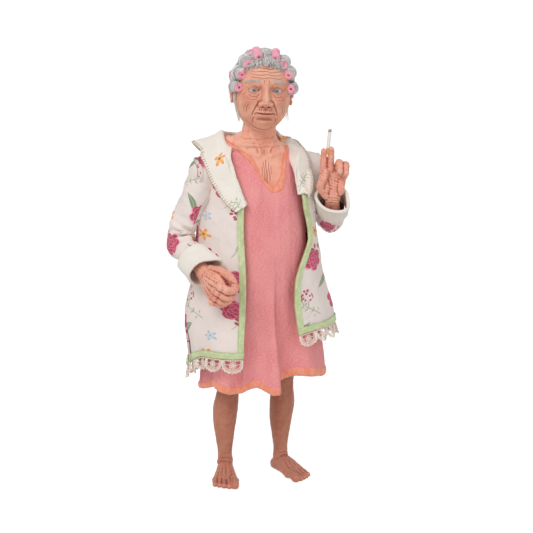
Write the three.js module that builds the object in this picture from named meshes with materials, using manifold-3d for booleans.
// A 1:12 miniature artist doll: an elderly figure in a nightgown and an open floral housecoat,
// with hair rollers and a cigarette. A wire armature carries a sculpted head and bust, forearms and
// legs; the torso, upper arms and thighs are padded. Millimetres, +Z up, the doll faces -Y, and its
// own right side is at -X.
import * as THREE from 'three';
import { mergeVertices } from 'three/addons/utils/BufferGeometryUtils.js';
import Module from 'manifold-3d';

const wasm = await Module();
wasm.setup();

// Driving dimensions
const GAP = 0.3; // between neighbouring pieces
const WIRE_RADIUS = 0.5; // armature wire
const BUST_BOTTOM_Z = 91.4; // lower edge of the sculpted bust
const SHOULDER_X = 17;
const SHOULDER_Y = 1;
const SHOULDER_Z = 99.5;
const SHOULDER_BALL_RADIUS = 3;
const HIP_X = 7.6;
const HIP_Y = 2;
const HIP_Z = 65;
const HIP_BALL_RADIUS = 4.2;
const ELBOW_KNOT_RADIUS = 1.6; // the twisted wire that bends at each elbow
const LEG_SPLIT_Z = 49; // top of the sculpted leg, where the padded thigh begins
const ANKLE_X = 9.2;
const GOWN_THICKNESS = 0.5;
const ROBE_THICKNESS = 0.6;
const COLLAR_THICKNESS = 0.5;
const BINDING_WIDTH = 1.5; // peach tape at the gown's neck and hem
const RIBBON_WIDTH = 1.5; // green ribbon on the robe's fronts and hem
const LACE_DEPTH = 4.4;
const LACE_THICKNESS = 0.4;
const ROLLER_RADIUS = 1.5;
const ROLLER_BORE_RADIUS = 0.5;
const ROLLER_LENGTH = 5;
const EYE_RADIUS = 1.55;
const CIGARETTE_RADIUS = 0.42;
const CIGARETTE_LENGTH = 8;
const FILTER_LENGTH = 2;
const ASH_LENGTH = 0.8;

// The arms' bend points: elbow and wrist of each side
const RIGHT_ELBOW = new THREE.Vector3(-25.5, 4, 78.5);
const RIGHT_WRIST = new THREE.Vector3(-22, -11.5, 70.5);
const LEFT_ELBOW = new THREE.Vector3(26.5, 4, 80.5);
const LEFT_WRIST = new THREE.Vector3(20.5, -11, 91);

// The head: where it sits and how it is turned
const HEAD_CENTRE = new THREE.Vector3(0, -3, 125);
const HEAD_YAW = THREE.MathUtils.degToRad(-12);
const HEAD_ROLL = THREE.MathUtils.degToRad(3);
const HEAD_HALF_WIDTH = 8.9;
const HEAD_HALF_DEPTH = 10;
const HEAD_HALF_HEIGHT = 12;

const SKIN = { color: '#d99a80', roughness: 0.55 };
const GOWN_PINK = { color: '#e58f98', roughness: 0.9 };
const PEACH = { color: '#f2a083', roughness: 0.8 };
const ROBE_CLOTH = { color: '#efe6df', roughness: 0.85 };
const RIBBON_GREEN = { color: '#b9da92', roughness: 0.6 };
const LACE_CREAM = { color: '#f0ddcb', roughness: 0.9 };
const PADDING = { color: '#e9e4d8', roughness: 1 };
const STEEL = { color: '#b9b9bd', roughness: 0.35, metalness: 1 };
const HAIR = { color: '#c3c1c2', roughness: 0.6 };
const ROLLER_PINK = { color: '#f08aa8', roughness: 0.8 };
const EYE_WHITE = { color: '#f2efe9', roughness: 0.1 };
const PAPER = { color: '#f3ece4', roughness: 0.9 };
const FILTER_TAN = { color: '#d79a4c', roughness: 0.8 };
const ASH_GREY = { color: '#8c8783', roughness: 1 };

const doll = new THREE.Group();

// Solids from points
const radians = THREE.MathUtils.degToRad;
const mix = THREE.MathUtils.lerp;
const smooth = (value, low, high) => THREE.MathUtils.smoothstep(value, low, high);
const vec = (x, y, z) => new THREE.Vector3(x, y, z);

function signedVolume(points, faces) {
  let sum = 0;
  for (const [a, b, c] of faces) {
    sum += points[a].dot(points[b].clone().cross(points[c]));
  }
  return sum / 6;
}

function geometryFrom(points, faces) {
  const outward = signedVolume(points, faces) > 0 ? faces : faces.map(([a, b, c]) => [a, c, b]);
  const geometry = new THREE.BufferGeometry();
  geometry.setAttribute('position', new THREE.Float32BufferAttribute(points.flatMap((p) => p.toArray()), 3));
  geometry.setIndex(outward.flat());
  return geometry;
}

// A solid through closed rings of equally many points, capped by a fan at each end
function loft(rings) {
  const count = rings[0].length;
  const points = rings.flat();
  const faces = [];
  for (let i = 0; i < rings.length - 1; i++) {
    for (let j = 0; j < count; j++) {
      const next = (j + 1) % count;
      const a = i * count + j;
      const b = i * count + next;
      faces.push([a, b, b + count], [a, b + count, a + count]);
    }
  }
  const middle = (ring) => ring.reduce((sum, p) => sum.add(p), vec(0, 0, 0)).divideScalar(count);
  const last = (rings.length - 1) * count;
  points.push(middle(rings[0]), middle(rings.at(-1)));
  for (let j = 0; j < count; j++) {
    const next = (j + 1) % count;
    faces.push([points.length - 2, next, j], [points.length - 1, last + j, last + next]);
  }
  return geometryFrom(points, faces);
}

// A thin solid between two grids of points, outer[row][column] and inner[row][column].
// keep(row, column) says which cells are cloth; the others are open.
function sheet(outer, inner, keep = () => true) {
  const rows = outer.length;
  const columns = outer[0].length;
  const points = [...outer.flat(), ...inner.flat()];
  const at = (row, column, side) => side * rows * columns + row * columns + column;
  const filled = (row, column) =>
    row >= 0 && column >= 0 && row < rows - 1 && column < columns - 1 && keep(row, column);
  const faces = [];
  const wall = (a, b) => {
    faces.push([a, b, b + rows * columns], [a, b + rows * columns, a + rows * columns]);
  };
  for (let row = 0; row < rows - 1; row++) {
    for (let column = 0; column < columns - 1; column++) {
      if (!filled(row, column)) continue;
      const [a, b] = [at(row, column, 0), at(row, column + 1, 0)];
      const [c, d] = [at(row + 1, column + 1, 0), at(row + 1, column, 0)];
      const under = rows * columns;
      faces.push([a, b, c], [a, c, d], [a + under, c + under, b + under], [a + under, d + under, c + under]);
      if (!filled(row - 1, column)) wall(b, a);
      if (!filled(row + 1, column)) wall(d, c);
      if (!filled(row, column - 1)) wall(a, d);
      if (!filled(row, column + 1)) wall(c, b);
    }
  }
  const used = [...new Set(faces.flat())];
  const renumber = new Map(used.map((old, index) => [old, index]));
  const kept = used.map((old) => points[old]);
  return geometryFrom(kept, faces.map((face) => face.map((old) => renumber.get(old))));
}

// Elliptical ring round an axis; side and the axis span its plane
function ring(centre, axis, side, radiusSide, radiusFront, count) {
  const forward = axis.clone().normalize();
  const across = side.clone().addScaledVector(forward, -side.dot(forward)).normalize();
  const front = forward.clone().cross(across);
  return Array.from({ length: count }, (_, k) => {
    const angle = (2 * Math.PI * k) / count;
    return centre
      .clone()
      .addScaledVector(across, radiusSide * Math.cos(angle))
      .addScaledVector(front, radiusFront * Math.sin(angle));
  });
}

// A limb through centre points: each station is [point, half width, half depth]
function limb(stations, side, count = 10) {
  const rings = stations.map(([point, width, depth], index) => {
    const before = stations[Math.max(index - 1, 0)][0];
    const after = stations[Math.min(index + 1, stations.length - 1)][0];
    return ring(point, after.clone().sub(before), side, width, depth, count);
  });
  return loft(rings);
}

// A finger: a chain of points with a radius at each and a rounded tip
function finger(points, radii, side, count = 6) {
  const stations = points.map((point, index) => [point, radii[index], radii[index]]);
  const tip = points.at(-1);
  const radius = radii.at(-1);
  const direction = tip.clone().sub(points.at(-2)).normalize();
  stations.push([tip.clone().addScaledVector(direction, radius * 0.6), radius * 0.78, radius * 0.78]);
  stations.push([tip.clone().addScaledVector(direction, radius * 0.95), radius * 0.3, radius * 0.3]);
  return limb(stations, side, count);
}

function rod(from, to, radius, count = 8) {
  const axis = to.clone().sub(from);
  const side = Math.abs(axis.x) > Math.abs(axis.z) ? vec(0, 0, 1) : vec(1, 0, 0);
  return loft([ring(from, axis, side, radius, radius, count), ring(to, axis, side, radius, radius, count)]);
}

// A bent rod through several points
function bentRod(points, radius, count = 6) {
  const side = vec(0.3, -1, 0.2);
  return limb(points.map((point) => [point, radius, radius]), side, count);
}

function ball(centre, radius, detail = 9) {
  return new THREE.SphereGeometry(radius, detail, Math.round(detail * 0.66)).translate(...centre.toArray());
}

// Joins and cuts
function toSolid(geometry) {
  const plain = geometry.clone();
  plain.deleteAttribute('normal');
  plain.deleteAttribute('uv');
  const merged = mergeVertices(plain, 1e-5);
  return new wasm.Manifold(
    new wasm.Mesh({
      numProp: 3,
      vertProperties: merged.attributes.position.array,
      triVerts: new Uint32Array(merged.index.array),
    }),
  );
}

const SMALLEST_STEP = 0.03; // finer detail than this is dropped after a join or a cut

function toGeometry(solid) {
  const mesh = solid.simplify(SMALLEST_STEP).getMesh();
  const geometry = new THREE.BufferGeometry();
  const stride = mesh.numProp;
  const positions = [];
  for (let i = 0; i < mesh.vertProperties.length; i += stride) {
    positions.push(...mesh.vertProperties.slice(i, i + 3));
  }
  geometry.setAttribute('position', new THREE.Float32BufferAttribute(positions, 3));
  geometry.setIndex([...mesh.triVerts]);
  return geometry;
}

// Joins and cuts may leave a sealed pocket of air, which is filled, or a loose splinter, which is dropped
const SPLINTER_VOLUME = 0.1;
function sound(solid) {
  const shells = solid.decompose().filter((shell) => shell.volume() > SPLINTER_VOLUME);
  return toGeometry(wasm.Manifold.compose(shells));
}

function join(...geometries) {
  return sound(geometries.map(toSolid).reduce((sum, solid) => sum.add(solid)));
}

function cut(geometry, ...tools) {
  return sound(tools.map(toSolid).reduce((rest, tool) => rest.subtract(tool), toSolid(geometry)));
}

// The solid stretched round several others
function wrap(...geometries) {
  return toGeometry(wasm.Manifold.hull(geometries.map(toSolid)));
}

function piece(name, geometry, look, parent = doll) {
  const shown = geometry.toNonIndexed();
  shown.computeVertexNormals();
  const welded = mergeVertices(shown.deleteAttribute('normal'));
  const mesh = new THREE.Mesh(welded, new THREE.MeshStandardMaterial(look));
  mesh.name = name;
  parent.add(mesh);
  return mesh;
}

// A smooth value through evenly numbered stations
function alongStations(values, position) {
  const index = THREE.MathUtils.clamp(Math.floor(position), 0, values.length - 2);
  const t = position - index;
  const v0 = values[Math.max(index - 1, 0)];
  const v1 = values[index];
  const v2 = values[index + 1];
  const v3 = values[Math.min(index + 2, values.length - 1)];
  return v1 + 0.5 * t * (v2 - v0 + t * (2 * v0 - 5 * v1 + 4 * v2 - v3 + t * (3 * (v1 - v2) + v3 - v0)));
}

// A smooth value through [key, value] pairs
function through(pairs, key) {
  if (key <= pairs[0][0]) return pairs[0][1];
  for (let i = 1; i < pairs.length; i++) {
    const [before, after] = [pairs[i - 1], pairs[i]];
    if (key <= after[0]) return mix(before[1], after[1], smooth(key, before[0], after[0]));
  }
  return pairs.at(-1)[1];
}

// The figure's outer form, from the gown's hem (level 0) up to the neck (level 13):
// each level is [height, half width, half depth, how far the section sits back]
const FORM = [
  [30, 20.2, 15.2, 0.5],
  [40, 19.4, 14.6, 0.5],
  [50, 18.2, 13.6, 0.4],
  [60, 16.6, 12.6, 0.2],
  [70, 15.2, 12.0, -0.4],
  [79, 14.4, 11.2, -0.3],
  [87, 14.2, 10.2, 0.1],
  [94, 14.2, 9.2, 0.5],
  [99.5, 13.8, 7.9, 1.0],
  [103.2, 12.4, 6.8, 1.1],
  [105.9, 10.0, 6.1, 0.9],
  [107.8, 8.4, 5.9, 0.4],
  [109.6, 7.0, 5.7, -0.2],
  [112.5, 6.2, 5.6, -1.0],
];
const FORM_COLUMNS = [0, 1, 2, 3].map((column) => FORM.map((level) => level[column]));
const SECTION_POWER = 2.25; // a little fuller than an ellipse

function formPoint(angle, level, folds = 0) {
  const [z, rx, ry, back] = FORM_COLUMNS.map((column) => alongStations(column, level));
  const across = Math.abs(Math.sin(angle) / (rx + folds)) ** SECTION_POWER;
  const along = Math.abs(Math.cos(angle) / (ry + folds)) ** SECTION_POWER;
  const radius = (across + along) ** (-1 / SECTION_POWER);
  return vec(radius * Math.sin(angle), back - radius * Math.cos(angle), z);
}

// The gown's folds open towards its hem
const GOWN_FOLD_LEVEL = 3.2;
const GOWN_FOLD_DEPTH = 1.1;
function gownFold(angle, level) {
  const opening = 1 - smooth(level, 0, GOWN_FOLD_LEVEL);
  return GOWN_FOLD_DEPTH * opening * (Math.cos(7 * angle + 0.6) + 0.45 * Math.cos(11 * angle - 1.2));
}

// A point that stands clear of the form by a distance along its normal
function clothPoint(angle, level, lift) {
  const step = 0.02;
  const at = (a, l) => formPoint(a, l, gownFold(a, l));
  const alongAngle = at(angle + step, level).sub(at(angle - step, level));
  const alongLevel = at(angle, level + step).sub(at(angle, level - step));
  return at(angle, level).addScaledVector(alongAngle.cross(alongLevel).normalize(), lift);
}

// A cloth panel: place(u, v) gives [angle in degrees, level], and lift(angle, level) its inner face
function panel(place, lift, thickness, columns, rows, keep) {
  const grid = (extra) =>
    Array.from({ length: rows + 1 }, (_, row) =>
      Array.from({ length: columns + 1 }, (_, column) => {
        const [angle, level] = place(column / columns, row / rows);
        return clothPoint(radians(angle), level, lift(angle, level) + extra);
      }),
    );
  return sheet(grid(thickness), grid(0), keep);
}

function levelAtHeight(z) {
  let low = 0;
  let high = FORM.length - 1;
  for (let i = 0; i < 40; i++) {
    const middle = (low + high) / 2;
    if (alongStations(FORM_COLUMNS[0], middle) < z) low = middle;
    else high = middle;
  }
  return (low + high) / 2;
}

function formRing(level, lift, count) {
  return Array.from({ length: count }, (_, k) => clothPoint((2 * Math.PI * k) / count, level, lift));
}

// The head, in its own frame: centre of the skull at the origin, face towards -Y.
// Eyes lie at half the head's height, the nose ends midway from brow to chin.
const bump = (x, z, x0, z0, spreadX, spreadZ) =>
  Math.exp(-(((x - x0) / spreadX) ** 2) - ((z - z0) / spreadZ) ** 2);
const EYE_X = 3.5;
const EYE_INSET = 2.9;
const EYE_Y = EYE_INSET - HEAD_HALF_DEPTH;
const EYE_Z = 0.2;

function faceRelief(x, z) {
  const side = Math.abs(x);
  const noseHeight = 2.6 * smooth(z, -5.2, -3.6) * (1 - smooth(z, -3.6, 3.4));
  return (
    noseHeight * Math.exp(-((x / (1.25 + 0.12 * (1 - z))) ** 2)) -
    1.1 * bump(side, z, EYE_X, EYE_Z, 1.9, 1.3) +
    0.5 * bump(side, z, 3.6, 2.7, 2.4, 0.9) +
    0.6 * bump(side, z, 4.6, -3.2, 2, 2) +
    0.5 * bump(x, z, 0, -6.2, 2.3, 0.5) +
    0.55 * bump(x, z, 0, -7.7, 2, 0.55) -
    0.45 * bump(x, z, 0, -8.9, 2, 0.5) +
    0.9 * bump(x, z, 0, -10.4, 2.1, 1.3)
  );
}

function headPoint(azimuth, elevation, lift, withFace = true) {
  const direction = vec(
    Math.cos(elevation) * Math.sin(azimuth),
    -Math.cos(elevation) * Math.cos(azimuth),
    Math.sin(elevation),
  );
  const jaw = 1 - 0.13 * smooth(-elevation, radians(15), radians(70));
  const power = mix(2, 2.6, smooth(-elevation, 0, radians(45))); // the lower face is squarer than the crown
  const sizes = [HEAD_HALF_WIDTH * jaw, HEAD_HALF_DEPTH, HEAD_HALF_HEIGHT];
  const reach = direction.toArray().reduce((sum, d, k) => sum + Math.abs(d / sizes[k]) ** power, 0);
  const radius = reach ** (-1 / power);
  const point = direction.multiplyScalar(radius + lift);
  if (withFace && point.y < 0) point.y -= smooth(-point.y, 1, 5) * faceRelief(point.x, point.z);
  return point;
}

// A closed surface round the head's centre, finest at the face
function headSurface(liftAt, columns, rows, withFace) {
  const rings = [];
  for (let i = 1; i < rows; i++) {
    const t = -Math.PI / 2 + (Math.PI * i) / rows;
    const elevation = t - 0.25 * Math.sin(2 * t);
    rings.push(
      Array.from({ length: columns }, (_, k) => {
        const turn = (2 * Math.PI * k) / columns;
        const azimuth = turn - 0.5 * Math.sin(turn);
        return headPoint(azimuth, elevation, liftAt(azimuth, elevation), withFace);
      }),
    );
  }
  return loft(rings);
}

const headGroup = new THREE.Group();
headGroup.position.copy(HEAD_CENTRE);
headGroup.rotation.set(0, HEAD_ROLL, HEAD_YAW, 'ZYX');
headGroup.updateMatrix();
doll.add(headGroup);

const eyeCentre = (side) => vec(side * EYE_X, EYE_Y, EYE_Z);
const ear = (side, extra = 0) =>
  new THREE.SphereGeometry(1, 8, 6)
    .scale(0.8 + extra, 1.9 + extra, 3.1 + extra)
    .rotateZ(side * 0.35)
    .translate(side * HEAD_HALF_WIDTH, 0.8, -1.1);

const SPINE_Y = 2.4;
const SPINE_TOP_Z = 117;
const SPINE_BOTTOM_Z = 66.5;
const BORE_RADIUS = WIRE_RADIUS + 1.3 * GAP;
const NECK_TOP = FORM.length - 1;
const NECK_SIDES = 22;
const NECK_RADIUS = 5.6;
const NECK_Y = -1.6;
const HEAD_COLUMNS = 26;
const HEAD_ROWS = 17;

function headAndBust() {
  const upperLevels = [7, 7.6, 8.2, 8.8, 9.4, 10, 10.5, 11, 11.5, 12, 12.5, NECK_TOP];
  const bustLevels = [levelAtHeight(BUST_BOTTOM_Z), ...upperLevels];
  const bustRings = bustLevels.map((level) => formRing(level, 0, NECK_SIDES));
  const neckRing = Array.from({ length: NECK_SIDES }, (_, k) => {
    const angle = (2 * Math.PI * k) / NECK_SIDES;
    return vec(NECK_RADIUS * Math.sin(angle), NECK_Y - NECK_RADIUS * Math.cos(angle), SPINE_TOP_Z + 1);
  });
  let skull = headSurface(() => 0, HEAD_COLUMNS, HEAD_ROWS, true);
  for (const side of [-1, 1]) skull = join(skull, ear(side));
  for (const side of [-1, 1]) skull = cut(skull, ball(eyeCentre(side), EYE_RADIUS + GAP));
  skull.applyMatrix4(headGroup.matrix);
  const shoulderPockets = [-1, 1].map((side) =>
    rod(
      vec(side * (SHOULDER_X - SHOULDER_BALL_RADIUS - 2 * GAP), SHOULDER_Y, SHOULDER_Z),
      vec(side * (SHOULDER_X + 4), SHOULDER_Y, SHOULDER_Z),
      SHOULDER_BALL_RADIUS + 2 * GAP,
    ),
  );
  const shoulderAt = (side) => vec(side * SHOULDER_X, SHOULDER_Y, SHOULDER_Z);
  const shoulderBore = rod(shoulderAt(-1), shoulderAt(1), BORE_RADIUS);
  const spineBore = rod(vec(0, SPINE_Y, BUST_BOTTOM_Z - 2), vec(0, SPINE_Y, SPINE_TOP_Z + GAP), BORE_RADIUS);
  return cut(join(loft([...bustRings, neckRing]), skull), ...shoulderPockets, shoulderBore, spineBore);
}

piece('head_and_bust', headAndBust(), SKIN);
piece('eye_right', ball(eyeCentre(-1), EYE_RADIUS), EYE_WHITE, headGroup);
piece('eye_left', ball(eyeCentre(1), EYE_RADIUS), EYE_WHITE, headGroup);

// Hair rollers lie from front to back over the skull, at these angles from its top
const FRONT_ROLLER_ANGLES = [-92, -65, -42, -17, 20, 44, 68, 95];
const REAR_ROLLER_ANGLES = [-70, -24, 24, 70];
const FRONT_ROLLER_Y = -3.8;
const REAR_ROLLER_Y = 5.5;
const ROLLER_SIDES = 8;

function rollerEnds(degrees, y, length) {
  const scale = Math.sqrt(1 - (y / HEAD_HALF_DEPTH) ** 2);
  const slope = -y / (HEAD_HALF_DEPTH ** 2 * scale);
  const across = HEAD_HALF_WIDTH * Math.sin(radians(degrees));
  const up = HEAD_HALF_HEIGHT * Math.cos(radians(degrees));
  const seat = vec(across * scale, y, up * scale);
  const axis = vec(across * slope, 1, up * slope).normalize();
  const sizes = [HEAD_HALF_WIDTH, HEAD_HALF_DEPTH, HEAD_HALF_HEIGHT];
  const outward = vec(...seat.toArray().map((value, k) => value / sizes[k] ** 2)).normalize();
  const centre = seat.addScaledVector(outward, ROLLER_RADIUS + 1.5 * GAP);
  return [-1, 1].map((end) => centre.clone().addScaledVector(axis, (end * length) / 2));
}

const ROLLERS = [
  ...FRONT_ROLLER_ANGLES.map((degrees) => [degrees, FRONT_ROLLER_Y]),
  ...REAR_ROLLER_ANGLES.map((degrees) => [degrees, REAR_ROLLER_Y]),
];

ROLLERS.forEach(([degrees, y], index) => {
  const body = rod(...rollerEnds(degrees, y, ROLLER_LENGTH), ROLLER_RADIUS, ROLLER_SIDES);
  const bore = rod(...rollerEnds(degrees, y, ROLLER_LENGTH + 2), ROLLER_BORE_RADIUS, 5);
  piece(`hair_roller_${String(index + 1).padStart(2, '0')}`, cut(body, bore), ROLLER_PINK, headGroup);
});

// The set hair is a shell over the skull that ends at the hairline
const HAIR_THICKNESS = 1.7;
const HAIRLINE = [
  [0, 44],
  [40, 38],
  [70, 14],
  [88, 2],
  [115, -22],
  [180, -38],
];

function wig() {
  const hairLift = (azimuth, elevation) => {
    let degrees = Math.abs(THREE.MathUtils.radToDeg(azimuth)) % 360;
    if (degrees > 180) degrees = 360 - degrees;
    const above = THREE.MathUtils.radToDeg(elevation) - through(HAIRLINE, degrees);
    return GAP - 1.2 + (HAIR_THICKNESS + 1.2) * smooth(above, -9, 9);
  };
  const outer = headSurface(hairLift, 20, 12, false);
  const skull = headSurface(() => 1.1 * GAP, HEAD_COLUMNS, HEAD_ROWS, false);
  const seats = ROLLERS.map(([degrees, y]) =>
    rod(...rollerEnds(degrees, y, ROLLER_LENGTH + 2 * GAP), ROLLER_RADIUS + GAP, ROLLER_SIDES),
  );
  const ears = [-1, 1].map((side) => ear(side, 1.2 * GAP));
  return cut(outer, skull, ...ears, ...seats);
}

piece('set_hair', wig(), HAIR, headGroup);

// Armature wires and the padding wound round them
const shoulderWireEnd = SHOULDER_X - SHOULDER_BALL_RADIUS - 2 * GAP;
const hipWireEnd = HIP_X - HIP_BALL_RADIUS - GAP;
piece('spine_wire', rod(vec(0, SPINE_Y, SPINE_BOTTOM_Z), vec(0, SPINE_Y, SPINE_TOP_Z), WIRE_RADIUS), STEEL);
const shoulderWireAt = (side) => vec(side * shoulderWireEnd, SHOULDER_Y, SHOULDER_Z);
piece('shoulder_wire', rod(shoulderWireAt(-1), shoulderWireAt(1), WIRE_RADIUS), STEEL);
piece('hip_wire', rod(vec(-hipWireEnd, HIP_Y, HIP_Z), vec(hipWireEnd, HIP_Y, HIP_Z), WIRE_RADIUS), STEEL);

const PADDING_SIDES = 18;
const PADDING_FORM = [
  [60, 12.6, 9.4, 1.2],
  [64, 13.8, 10.6, 0.8],
  [70, 14.4, 11.4, 0],
  [76, 14.2, 11.1, -0.2],
  [82, 13.8, 10.6, 0],
  [87, 13.8, 9.9, 0.1],
];

function bodyPadding() {
  const section = (z, rx, ry, back) => ring(vec(0, back, z), vec(0, 0, 1), vec(1, 0, 0), rx, ry, PADDING_SIDES);
  const rings = PADDING_FORM.map((row) => section(...row));
  const top = FORM_COLUMNS.map((column) => alongStations(column, levelAtHeight(BUST_BOTTOM_Z - GAP)));
  rings.push(section(top[0], top[1] - GAP, top[2] - GAP, top[3]));
  const pockets = [-1, 1].map((side) => {
    const low = (way) => vec(side * (HIP_X + 0.5), HIP_Y + way * 3, 56);
    const room = HIP_BALL_RADIUS + 2 * GAP;
    return wrap(ball(vec(side * HIP_X, HIP_Y, HIP_Z), room), ball(low(-1), room), ball(low(1), room));
  });
  const bores = [
    rod(vec(0, SPINE_Y, SPINE_BOTTOM_Z - GAP), vec(0, SPINE_Y, BUST_BOTTOM_Z + 2), BORE_RADIUS),
    rod(vec(-HIP_X, HIP_Y, HIP_Z), vec(HIP_X, HIP_Y, HIP_Z), BORE_RADIUS),
  ];
  return cut(loft(rings), ...pockets, ...bores);
}

piece('body_padding', bodyPadding(), PADDING);

// Arms. Each one hangs from its shoulder ball and bends at a twisted knot of wire.
const FOREARM_START = 5.6; // the sculpted forearm begins this far from the elbow
const PADDING_END = 5.2; // and the padding of the upper arm ends this far from it
const SLEEVE_THICKNESS = 0.5;
const CUFF_LENGTH = 6.5;
const CUFF_RADIUS = 4.3;

function armStations(shoulder, elbow, extra) {
  const along = elbow.clone().sub(shoulder);
  const length = along.length();
  const point = (distance) => shoulder.clone().addScaledVector(along, distance / length);
  return [
    [point(0), 2.1 + extra, 2.1 + extra],
    [point(length * 0.3), 2.3 + extra, 2.3 + extra],
    [point(length - 8.5), 2.3 + extra, 2.3 + extra],
    [point(length - PADDING_END), 1.5 + extra, 1.5 + extra],
  ];
}

// Everything inside the robe's outer face and a gap, which sleeves and arms keep clear of
function robeEnvelope(extra) {
  const rings = [3.5, 5.5, 7, 8, 8.6, 9.2, 9.8].map((level) =>
    Array.from({ length: 20 }, (_, k) => {
      const degrees = (360 * k) / 20;
      return clothPoint(radians(degrees), level, robeLift(degrees, level) + ROBE_THICKNESS + extra);
    }),
  );
  return loft(rings);
}

// How far the robe's inner face stands off the gown; it hangs free and flares below the chest
const ROBE_FOLD_DEPTH = 0.6;
function robeLift(degrees, level) {
  const base = GAP + GOWN_THICKNESS + 0.4;
  const flare = 2.6 * (1 - smooth(level, 0.5, 6.5));
  const folds = ROBE_FOLD_DEPTH * (1 - smooth(level, 1, 4.8)) * (1 + Math.cos(radians(9 * degrees + 40)));
  return base + flare + folds;
}

const AHEAD = vec(0, -1, 0);

function hand(wrist, fingersAlong, thumbSide, curledFingers) {
  const f = fingersAlong.clone().normalize();
  const r = thumbSide.clone().addScaledVector(f, -thumbSide.dot(f)).normalize();
  const p = curledFingers.palm.clone().addScaledVector(f, -curledFingers.palm.dot(f));
  p.addScaledVector(r, -p.dot(r)).normalize();
  const at = (u, v, w) => wrist.clone().addScaledVector(f, u).addScaledVector(r, v).addScaledVector(p, w);
  const palm = limb(
    [
      [at(-0.8, 0, 0), 2.05, 1.75],
      [at(1.2, 0, 0), 2.6, 1.8],
      [at(4.2, 0.1, 0), 3.9, 1.9],
      [at(7.2, 0, 0), 4.1, 1.6],
      [at(8.8, 0, 0.1), 3.5, 1.1],
    ],
    r,
    12,
  );
  const fingers = curledFingers.chains.map(([chain, radii]) =>
    finger(chain.map(([u, v, w]) => at(u, v, w)), radii, r.clone().multiplyScalar(0.3).sub(p), 7),
  );
  return { solid: join(palm, ...fingers), at };
}

const curled = (v, radius, reach) => [
  [
    [6.8, v, -0.4],
    [8.9 + reach, v, 0.6],
    [9 + reach, v, 2.7],
    [6.6 + reach, v * 0.95, 3.6],
  ],
  [radius, radius, radius * 0.96, radius * 0.9],
];
const straight = (v, spread, radius, reach) => [
  [
    [6.8, v, 0],
    [10.5, v + spread / 2, 0.1],
    [12.6 + reach, v + spread, 0.3],
    [14 + reach, v + spread, 0.7],
  ],
  [radius * 1.05, radius, radius * 0.96, radius * 0.9],
];
const THUMB_FOLDED = [
  [
    [1, 2, 0.6],
    [4, 3.9, 1.9],
    [6.4, 3.5, 3.2],
    [8.2, 2.6, 3.7],
  ],
  [1.2, 1.3, 1.15, 1],
];
const THUMB_UP = [
  [
    [1, 2, 0.6],
    [3.6, 3.8, 1.8],
    [6, 3.2, 2.9],
    [8, 2.4, 2.6],
  ],
  [1.3, 1.35, 1.15, 0.95],
];
const FIST = {
  palm: vec(1, 0, 0.1),
  chains: [
    curled(2.9, 1.1, 0),
    curled(0.9, 1.12, 0.4),
    curled(-1.1, 1.05, 0.1),
    curled(-2.9, 0.95, -0.5),
    THUMB_FOLDED,
  ],
};
const HOLDING = {
  palm: vec(-0.3, -0.95, 0),
  chains: [
    straight(2.6, 0.8, 1.05, 0),
    straight(0.9, -0.5, 1.08, 0.5),
    curled(-1.5, 1.02, -0.2),
    curled(-3.1, 0.95, -0.7),
    THUMB_UP,
  ],
};

const CIGARETTE_START = [12, 1.75, 0.4]; // in the left hand's own directions: along, thumbwards, palmwards
const CIGARETTE_END = [12 + CIGARETTE_LENGTH, 1.6, 1.2];
const BUTT_GAP = 0.1;

function cigarettePoint(at, distance) {
  const start = at(...CIGARETTE_START);
  const along = at(...CIGARETTE_END).sub(start).normalize();
  return start.addScaledVector(along, distance);
}

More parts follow.
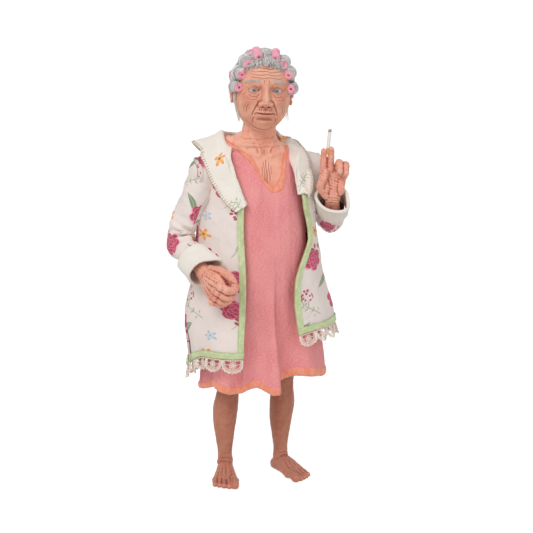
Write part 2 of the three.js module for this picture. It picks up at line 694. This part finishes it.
function buildArm(side, name, elbow, wrist, fingersAlong, thumbSide, pose) {
  const shoulder = vec(side * SHOULDER_X, SHOULDER_Y, SHOULDER_Z);
  const wireInner = vec(side * (shoulderWireEnd + GAP), SHOULDER_Y, SHOULDER_Z);
  const down = elbow.clone().sub(shoulder).normalize();
  const out = wrist.clone().sub(elbow).normalize();
  const wireEnd = elbow.clone().addScaledVector(down, -(ELBOW_KNOT_RADIUS + GAP));
  piece(`arm_wire_${name}`, bentRod([wireInner, shoulder, wireEnd], WIRE_RADIUS), STEEL);

  const bores = [
    rod(wireInner.clone().setX(wireInner.x - side * 2), shoulder, BORE_RADIUS),
    rod(shoulder, elbow, BORE_RADIUS),
    ball(shoulder, BORE_RADIUS * 1.1, 7),
  ];
  const clear = robeEnvelope(1.8 * GAP);
  const arm = join(ball(shoulder, SHOULDER_BALL_RADIUS), limb(armStations(shoulder, elbow, 0), AHEAD));
  piece(`upper_arm_padding_${name}`, cut(arm, ...bores), PADDING);

  // The forearm's wire starts at the elbow knot and ends inside the sculpted forearm
  const foreEnd = elbow.clone().addScaledVector(out, FOREARM_START + 5);
  const foreWire = join(ball(elbow, ELBOW_KNOT_RADIUS, 8), rod(elbow, foreEnd, WIRE_RADIUS, 6));
  piece(`forearm_wire_${name}`, foreWire, STEEL);
  const reach = wrist.clone().sub(elbow).length();
  const onForearm = (distance) => elbow.clone().addScaledVector(out, distance);
  const forearm = limb(
    [
      [onForearm(FOREARM_START), 2.1, 2.1],
      [onForearm(reach * 0.5), 2.5, 2.5],
      [onForearm(reach * 0.8), 2.2, 2],
      [wrist, 2, 1.8],
      [wrist.clone().addScaledVector(fingersAlong.clone().normalize(), 0.8), 2, 1.8],
    ],
    thumbSide,
    12,
  );
  const made = hand(wrist, fingersAlong, thumbSide, pose);
  const cuts = [rod(elbow, onForearm(FOREARM_START + 5 + GAP), BORE_RADIUS)];
  if (pose === HOLDING) {
    const [start, end] = [-GAP, CIGARETTE_LENGTH].map((distance) => cigarettePoint(made.at, distance));
    cuts.push(rod(start, end, CIGARETTE_RADIUS + GAP / 2));
  }
  piece(`forearm_and_hand_${name}`, cut(join(forearm, made.solid), ...cuts), SKIN);

  // The sleeve: from the armhole, round the elbow, to the turned-back cuff
  const cuffStart = reach - CUFF_LENGTH;
  const upper = (distance) => shoulder.clone().addScaledVector(down, distance);
  const length = elbow.clone().sub(shoulder).length();
  const tilted = (mixShare) => vec(side, 0, 0).lerp(down, mixShare).normalize();
  const upperPart = [
    [vec(side * 15.2, SHOULDER_Y, SHOULDER_Z + 0.4), vec(side, 0, 0), 4.8],
    [upper(1.3).add(vec(side * 0.2, 0, 0.3)), tilted(0.32), 4.7],
    [upper(4.2), tilted(0.68), 4.5],
    [upper(7.5), tilted(0.95), 4.1],
    [upper(length * 0.62), down, 3.9],
    [upper(length - 3.6), down, 3.5],
    [upper(length), down, 3.3],
  ];
  const forePart = [
    [elbow, out, 3.3],
    [onForearm(3.6), out, 3.5],
    [onForearm(cuffStart * 0.75 + 1.4), out, 3.7],
    [onForearm(cuffStart - GAP), out, 3.8],
  ];
  const hinge = down.clone().cross(out).normalize();
  const rings = (stations, extra) =>
    stations.map(([c, axis, radius]) => ring(c, axis, hinge, radius + extra, radius + extra, 10));
  const shape = (extra) =>
    join(loft(rings(upperPart, extra)), ball(elbow, 3.3 + extra, 10), loft(rings(forePart, extra)));
  const opened = (part, index, distance) => {
    const [c, axis, radius] = part.at(index);
    const inside = c.clone().addScaledVector(axis, -distance / 3);
    return rod(inside, c.clone().addScaledVector(axis, distance), radius - SLEEVE_THICKNESS, 10);
  };
  const elbowRoom = ball(elbow, ELBOW_KNOT_RADIUS + GAP, 10);
  const hollow = [shape(-SLEEVE_THICKNESS), opened(upperPart, 0, -1.5), opened(forePart, -1, 1.5)];
  piece(`sleeve_${name}`, cut(shape(0), ...hollow, clear, elbowRoom), ROBE_CLOTH);

  const closed = (layer) => layer.map((points) => [...points, points[0]]);
  const cuffLayer = (extra) =>
    closed(
      [
        [cuffStart, 0],
        [cuffStart + CUFF_LENGTH * 0.5, 0.15],
        [cuffStart + CUFF_LENGTH * 0.97, 0.5],
      ].map(([distance, flare]) =>
        ring(onForearm(distance), out, hinge, CUFF_RADIUS + flare + extra, CUFF_RADIUS + flare + extra, 14),
      ),
    );
  piece(`cuff_${name}`, tube(cuffLayer(0), cuffLayer(-2 * SLEEVE_THICKNESS)), ROBE_CLOTH);
  return made.at;
}

// A hollow tube open at both ends, from rings that repeat their first point
function tube(outer, inner) {
  const wallRings = [...outer, ...inner.toReversed(), outer[0]];
  const columns = outer[0].length - 1;
  const points = [];
  const faces = [];
  const rows = wallRings.length - 1;
  for (let row = 0; row < rows; row++) points.push(...wallRings[row].slice(0, columns));
  for (let row = 0; row < rows; row++) {
    const above = (row + 1) % rows;
    for (let column = 0; column < columns; column++) {
      const next = (column + 1) % columns;
      const [a, b] = [row * columns + column, row * columns + next];
      const [c, d] = [above * columns + next, above * columns + column];
      faces.push([a, b, c], [a, c, d]);
    }
  }
  return geometryFrom(points, faces);
}

buildArm(-1, 'right', RIGHT_ELBOW, RIGHT_WRIST, vec(2, -7, -5), vec(0.1, -0.5, 1), FIST);
const leftHandAt = buildArm(1, 'left', LEFT_ELBOW, LEFT_WRIST, vec(0.05, 0.1, 1), vec(-1, 0.25, 0), HOLDING);

const paperEnd = CIGARETTE_LENGTH - ASH_LENGTH - BUTT_GAP;
const cigaretteRod = (from, to) =>
  rod(cigarettePoint(leftHandAt, from), cigarettePoint(leftHandAt, to), CIGARETTE_RADIUS);
piece('cigarette_filter', cigaretteRod(0, FILTER_LENGTH), FILTER_TAN);
piece('cigarette_paper', cigaretteRod(FILTER_LENGTH + BUTT_GAP, paperEnd), PAPER);
piece('cigarette_ash', cigaretteRod(paperEnd + BUTT_GAP, CIGARETTE_LENGTH), ASH_GREY);

// Legs: padded thigh, sculpted leg and bare foot with a flat sole
const RIGHT_TOE_OUT = 18;
const LEFT_TOE_OUT = 13;
const LEG_FORM = [
  // height, how far out and back from the ankle, half width, half depth
  [LEG_SPLIT_Z - GAP, -0.9, -0.4, 4.8, 5],
  [44, -0.7, -0.3, 4.7, 4.9],
  [38, -0.4, -0.1, 4.1, 4.3],
  [33.5, -0.2, 0, 3.8, 4],
  [29, -0.1, 0.3, 3.6, 3.8],
  [23.5, 0.1, 0.7, 3.8, 4.1],
  [18, 0, 0.8, 3.5, 3.8],
  [12, 0, 0.5, 2.7, 3],
  [7, 0, 0.3, 2.4, 2.7],
  [3.6, 0, 0.2, 2.6, 2.9],
  [1.2, 0, 0.2, 2.1, 2.4],
];
const FOOT_FORM = [
  // along the foot from the ankle, centre height, half width, half height
  [-3.6, 1.7, 1.2, 1.1],
  [-2.4, 2.0, 2.2, 2.1],
  [0.5, 2.6, 2.5, 2.9],
  [3.5, 2.2, 2.9, 2.5],
  [6.4, 1.5, 3.7, 1.8],
  [8.8, 1.1, 4, 1.3],
  [9.8, 1, 3.6, 1],
];
const TOES = [
  // sideways from the foot's midline towards its inner side, reach, radius
  [3, 12, 1.25],
  [1.25, 11.7, 0.92],
  [-0.25, 11.3, 0.88],
  [-1.65, 10.8, 0.85],
  [-2.95, 10.1, 0.85],
];
const LEG_WIRE_END_Z = 43;

function buildLeg(side, name, toeOut) {
  const hip = vec(side * HIP_X, HIP_Y, HIP_Z);
  const wireInner = vec(side * (hipWireEnd + GAP), HIP_Y, HIP_Z);
  const ankle = (outBy, backBy, z) => vec(side * (ANKLE_X + outBy), HIP_Y + 0.5 + backBy, z);
  const boreTop = ankle(LEG_FORM[0][1], LEG_FORM[0][2], LEG_SPLIT_Z);
  const wireBend = vec(boreTop.x, boreTop.y, LEG_WIRE_END_Z);
  piece(`leg_wire_${name}`, bentRod([wireInner, hip, wireBend], WIRE_RADIUS), STEEL);
  const bores = [
    rod(vec(side * (HIP_X - HIP_BALL_RADIUS - 1), HIP_Y, HIP_Z), hip, BORE_RADIUS),
    ball(hip, BORE_RADIUS * 1.1, 7),
    rod(hip, wireBend.clone().addScaledVector(wireBend.clone().sub(hip).normalize(), GAP), BORE_RADIUS),
  ];
  const thigh = limb(
    [
      [hip, 3.8, 3.8],
      [hip.clone().lerp(boreTop, 0.4), 4.4, 4.4],
      [vec(boreTop.x, boreTop.y, LEG_SPLIT_Z), 4.8, 5],
    ],
    vec(1, 0, 0),
    12,
  );
  const flat = new THREE.BoxGeometry(20, 20, 10).translate(boreTop.x, boreTop.y, LEG_SPLIT_Z - 5);
  piece(`thigh_padding_${name}`, cut(join(ball(hip, HIP_BALL_RADIUS), thigh), ...bores, flat), PADDING);

  const legRings = LEG_FORM.map(([z, outBy, backBy, rx, ry]) =>
    ring(ankle(outBy, backBy, z), vec(0, 0, 1), vec(1, 0, 0), rx, ry, 12),
  );
  const turn = radians(toeOut);
  const toes = vec(side * Math.sin(turn), -Math.cos(turn), 0);
  const inner = vec(-side * Math.cos(turn), -Math.sin(turn), 0);
  const onFoot = (along, inward, z) =>
    ankle(0, 0.2, z).addScaledVector(toes, along).addScaledVector(inner, inward);
  const footRings = FOOT_FORM.map(([along, z, width, height]) =>
    ring(onFoot(along, along * 0.03, z), toes, inner, width, height, 10),
  );
  const toeSolids = TOES.map(([inward, reach, radius]) => {
    const points = [
      onFoot(7.5, inward * 0.85, radius + 0.5),
      onFoot(reach - 1.6, inward, radius + 0.25),
      onFoot(reach, inward, radius * 0.9),
    ];
    return finger(points, [radius, radius, radius * 0.85], inner);
  });
  const below = new THREE.BoxGeometry(60, 60, 10).translate(0, 0, -5);
  const leg = join(loft(legRings), loft(footRings), ...toeSolids);
  piece(`leg_and_foot_${name}`, cut(leg, below, bores[2]), SKIN);
}

buildLeg(-1, 'right', RIGHT_TOE_OUT);
buildLeg(1, 'left', LEFT_TOE_OUT);

// The nightgown: front and back panels sewn at the sides, with peach tape at neck and hem
const GOWN_SEAM = 90;
const SEAM_HALF_GAP = 0.6; // degrees each side of a seam
const gownLift = () => GAP;
const GOWN_NECKLINE = [
  [0, 7.25],
  [18, 7.6],
  [40, 9.1],
  [62, 10.4],
  [90, 10.7],
  [180, 10.9],
];
const LEVEL_HEIGHT = 10; // from one level to the next, below the waist
const HEM_TAPE_LEVEL = BINDING_WIDTH / LEVEL_HEIGHT;
const gownHem = (degrees) =>
  0.12 + 0.1 * Math.cos(radians(7 * degrees + 34)) + 0.1 * Math.cos(radians(degrees));
const neckTape = 0.22;
const tapeGap = 0.06;

function aroundFrom(degrees) {
  let turned = Math.abs(degrees) % 360;
  if (turned > 180) turned = 360 - turned;
  return turned;
}

function gownPanel(from, to, columns) {
  const place = (u, v) => {
    const degrees = mix(from + SEAM_HALF_GAP, to - SEAM_HALF_GAP, u);
    const low = gownHem(degrees) + HEM_TAPE_LEVEL + tapeGap / 2;
    const high = through(GOWN_NECKLINE, aroundFrom(degrees)) - neckTape - tapeGap;
    return [degrees, mix(low, high, v ** 0.9)];
  };
  const armholes = [-1, 1].map((side) =>
    rod(vec(side * 9, SHOULDER_Y, SHOULDER_Z), vec(side * 24, SHOULDER_Y, SHOULDER_Z), GOWN_ARMHOLE, 12),
  );
  return cut(panel(place, gownLift, GOWN_THICKNESS, columns, 8), ...armholes);
}

const GOWN_ARMHOLE = 4.3;
const ROBE_ARMHOLE = 4.6;
piece('gown_front', gownPanel(-GOWN_SEAM, GOWN_SEAM, 22), GOWN_PINK);
piece('gown_back', gownPanel(GOWN_SEAM, 360 - GOWN_SEAM, 18), GOWN_PINK);

// A tape that runs right round, between two level curves
function roundTape(lowAt, highAt, lift, thickness, columns) {
  const rings = (extra) =>
    [0, 1].map((v) =>
      Array.from({ length: columns + 1 }, (_, k) => {
        const degrees = (360 * k) / columns;
        return clothPoint(radians(degrees), mix(lowAt(degrees), highAt(degrees), v), lift + extra);
      }),
    );
  return tube(rings(thickness), rings(0));
}

piece(
  'gown_hem_tape',
  roundTape(gownHem, (degrees) => gownHem(degrees) + HEM_TAPE_LEVEL - tapeGap / 2, GAP, GOWN_THICKNESS, 40),
  PEACH,
);
const neckline = (degrees) => through(GOWN_NECKLINE, aroundFrom(degrees));
piece(
  'gown_neck_tape',
  roundTape((degrees) => neckline(degrees) - neckTape, neckline, GAP, GOWN_THICKNESS, 44),
  PEACH,
);

// The housecoat: back and two open fronts, edged with ribbon and lace
const ROBE_SIDE_SEAM = 94;
const ROBE_BACK_TOP = 10.9;
const ROBE_HEM = [
  // angle and level of the ribbon's lower edge; the raised arm lifts the left front
  [-180, 0.95],
  [-120, 0.9],
  [-80, 1.05],
  [-37, 1.25],
  [0, 1.6],
  [26, 1.85],
  [60, 2.05],
  [90, 2.1],
  [135, 1.4],
  [180, 0.95],
];
const robeHem = (degrees) => through(ROBE_HEM, ((degrees + 180) % 360) - 180);
const RIGHT_EDGE = [
  [0, 37],
  [6, 37],
  [7.2, 42],
  [9.5, 56],
  [10.9, 66],
];
const LEFT_EDGE = [
  [0, 25],
  [2.2, 26],
  [4.2, 44],
  [6.4, 42],
  [9.5, 54],
  [10.9, 62],
];
const robeEdge = (side, level) => (side < 0 ? -through(RIGHT_EDGE, level) : through(LEFT_EDGE, level));
const edgeAtHem = (side) => robeEdge(side, 1.2);
const RIBBON_DEGREES = THREE.MathUtils.radToDeg(RIBBON_WIDTH / 16.5); // at the front edges
const RIBBON_LEVELS = RIBBON_WIDTH / LEVEL_HEIGHT;
const LACE_LEVELS = LACE_DEPTH / LEVEL_HEIGHT;
const ribbonGap = 0.05;
const LAPEL_LEVEL = 6.1; // where the collar's fold ends and the ribbon begins
const robeArmholes = [-1, 1].map((side) =>
  rod(vec(side * 10, SHOULDER_Y, SHOULDER_Z), vec(side * 25, SHOULDER_Y, SHOULDER_Z), ROBE_ARMHOLE, 12),
);

// Rows of the front panel: the lower ones run beside the ribbon, the rest go under the collar
const RIBBON_ROWS = 6;
const COLLAR_ROWS = 4;
const FRONT_ROWS = RIBBON_ROWS + COLLAR_ROWS;
function frontLevel(side, v) {
  const bottom = robeHem(edgeAtHem(side)) + RIBBON_LEVELS + ribbonGap;
  const share = RIBBON_ROWS / FRONT_ROWS;
  if (v <= share) return mix(bottom, LAPEL_LEVEL, v / share);
  return mix(LAPEL_LEVEL, 10.4, (v - share) / (1 - share));
}

function frontPoint(side, degrees, v) {
  const level = frontLevel(side, v);
  const rise = robeHem(degrees) - robeHem(edgeAtHem(side));
  return [degrees, level + rise * (1 - smooth(level, 1.2, 5.5))];
}

function robeFront(side) {
  const place = (u, v) => {
    const seam = side * (ROBE_SIDE_SEAM - SEAM_HALF_GAP);
    const level = frontLevel(side, v);
    const underCollar = smooth(level, LAPEL_LEVEL + 0.2, LAPEL_LEVEL + 1);
    const inset = mix(RIBBON_DEGREES + 1.1, RIBBON_DEGREES - 3, underCollar);
    return frontPoint(side, mix(robeEdge(side, level) + side * inset, seam, u), v);
  };
  return cut(panel(place, robeLift, ROBE_THICKNESS, 8, FRONT_ROWS), ...robeArmholes);
}

function robeBack() {
  const place = (u, v) => {
    const degrees = mix(ROBE_SIDE_SEAM + SEAM_HALF_GAP, 360 - ROBE_SIDE_SEAM - SEAM_HALF_GAP, u);
    const top = mix(10.2, ROBE_BACK_TOP - 0.4, Math.sin(Math.PI * u));
    return [degrees, mix(robeHem(degrees) + RIBBON_LEVELS + ribbonGap, top, v)];
  };
  return cut(panel(place, robeLift, ROBE_THICKNESS, 18, 8), ...robeArmholes);
}

piece('robe_front_right', robeFront(-1), ROBE_CLOTH);
piece('robe_front_left', robeFront(1), ROBE_CLOTH);
piece('robe_back', robeBack(), ROBE_CLOTH);

const frontRibbon = (side) =>
  panel(
    (u, v) => {
      const along = (v * RIBBON_ROWS) / FRONT_ROWS;
      return frontPoint(side, robeEdge(side, frontLevel(side, along)) + side * RIBBON_DEGREES * u, along);
    },
    robeLift,
    ROBE_THICKNESS,
    1,
    RIBBON_ROWS,
  );
const hemStrip = (fromDegrees, toDegrees, low, high, columns) =>
  panel(
    (u, v) => {
      const degrees = mix(fromDegrees, toDegrees, u);
      return [degrees, robeHem(degrees) + mix(low, high, v)];
    },
    robeLift,
    ROBE_THICKNESS,
    columns,
    1,
  );
const sideSeam = ROBE_SIDE_SEAM - SEAM_HALF_GAP;
piece('ribbon_front_right', frontRibbon(-1), RIBBON_GREEN);
piece('ribbon_front_left', frontRibbon(1), RIBBON_GREEN);
piece('ribbon_hem_right', hemStrip(edgeAtHem(-1), -sideSeam, 0, RIBBON_LEVELS, 8), RIBBON_GREEN);
piece('ribbon_hem_left', hemStrip(edgeAtHem(1), sideSeam, 0, RIBBON_LEVELS, 9), RIBBON_GREEN);
const backSeam = sideSeam + 2 * SEAM_HALF_GAP;
piece('ribbon_hem_back', hemStrip(backSeam, 360 - backSeam, 0, RIBBON_LEVELS, 20), RIBBON_GREEN);

// Lace: a net band with a row of openings above a scalloped edge
const LACE_CELL_DEGREES = 5;
const laceKeep = (row, column) => !(row === 1 && column % 4 === 2) && !(row === 0 && column % 4 === 0);
function lace(fromDegrees, toDegrees) {
  const span = Math.abs(toDegrees - fromDegrees);
  const columns = 4 * Math.round(span / LACE_CELL_DEGREES / 4) + 1;
  return panel(
    (u, v) => {
      const degrees = mix(fromDegrees, toDegrees, u);
      return [degrees, robeHem(degrees) - ribbonGap - LACE_LEVELS * (1 - v)];
    },
    (degrees, level) => robeLift(degrees, level) + (ROBE_THICKNESS - LACE_THICKNESS) / 2,
    LACE_THICKNESS,
    columns,
    3,
    laceKeep,
  );
}
piece('lace_right', lace(edgeAtHem(-1), -sideSeam), LACE_CREAM);
piece('lace_left', lace(edgeAtHem(1), sideSeam), LACE_CREAM);
piece('lace_back', lace(backSeam, 360 - backSeam), LACE_CREAM);

// The collar lies over the robe from the neck down to each lapel's point
const COLLAR_RUN = [
  // share of the way, fold angle, fold level, outer angle, outer level
  [0, 150, 11.1, 150, 9.5],
  [0.16, 110, 11.0, 112, 9.15],
  [0.3, 84, 10.85, 92, 8.9],
  [0.42, 69, 10.5, 76, 8.6],
  [0.55, 58, 9.6, 66, 7.9],
  [0.7, 50, 8.4, 60, 7.1],
  [0.85, 43.5, 7.2, 52, 6.4],
  [1, 38.5, 6.3, 42, 6.05],
];
const collarLift = (degrees, level) => robeLift(degrees, level) + ROBE_THICKNESS + GAP;
const collarValue = (column, share) => through(COLLAR_RUN.map((row) => [row[0], row[column]]), share);

function lapel(side) {
  return panel(
    (u, v) => {
      const degrees = mix(collarValue(3, u), collarValue(1, u), v);
      return [side * degrees, mix(collarValue(4, u), collarValue(2, u), v)];
    },
    collarLift,
    COLLAR_THICKNESS,
    14,
    3,
  );
}

piece('collar_right', lapel(-1), ROBE_CLOTH);
piece('collar_left', lapel(1), ROBE_CLOTH);
piece(
  'collar_back',
  panel(
    (u, v) => {
      const degrees = mix(COLLAR_RUN[0][1] + 1.5, 360 - COLLAR_RUN[0][1] - 1.5, u);
      return [degrees, mix(COLLAR_RUN[0][4], COLLAR_RUN[0][2], v)];
    },
    collarLift,
    COLLAR_THICKNESS,
    6,
    3,
  ),
  ROBE_CLOTH,
);

// The doll stands with the middle of its outline over the origin
doll.updateMatrixWorld(true);
const outline = new THREE.Box3().setFromObject(doll, true);
const middle = outline.getCenter(vec(0, 0, 0));
doll.position.set(-middle.x, -middle.y, -outline.min.z);

export default doll;
